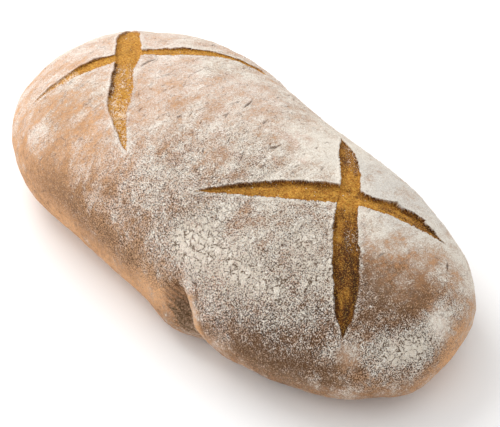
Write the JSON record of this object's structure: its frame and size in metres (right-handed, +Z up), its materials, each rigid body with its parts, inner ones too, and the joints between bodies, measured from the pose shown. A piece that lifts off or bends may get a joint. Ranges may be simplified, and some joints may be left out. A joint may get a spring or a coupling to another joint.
{
  "type": "buttermilk bread loaf",
  "caption": "Oblong hand-shaped hearth loaf with a flat base, a floured brown crust and two diagonal cross scores that open on ochre crumb.",
  "frame": {"origin": "middle of the loaf's box, on the plane of its flat base", "axes": "+X along the loaf, towards the end with the cross that lies nearer the camera; +Y across it; +Z up"},
  "size_m": [0.3308, 0.1754, 0.087],
  "materials": {
    "crust": "dull baked crust under a dusting of flour"
  },
  "bodies": {
    "root": {"loaf": "crust"}
  },
  "joints": []
}
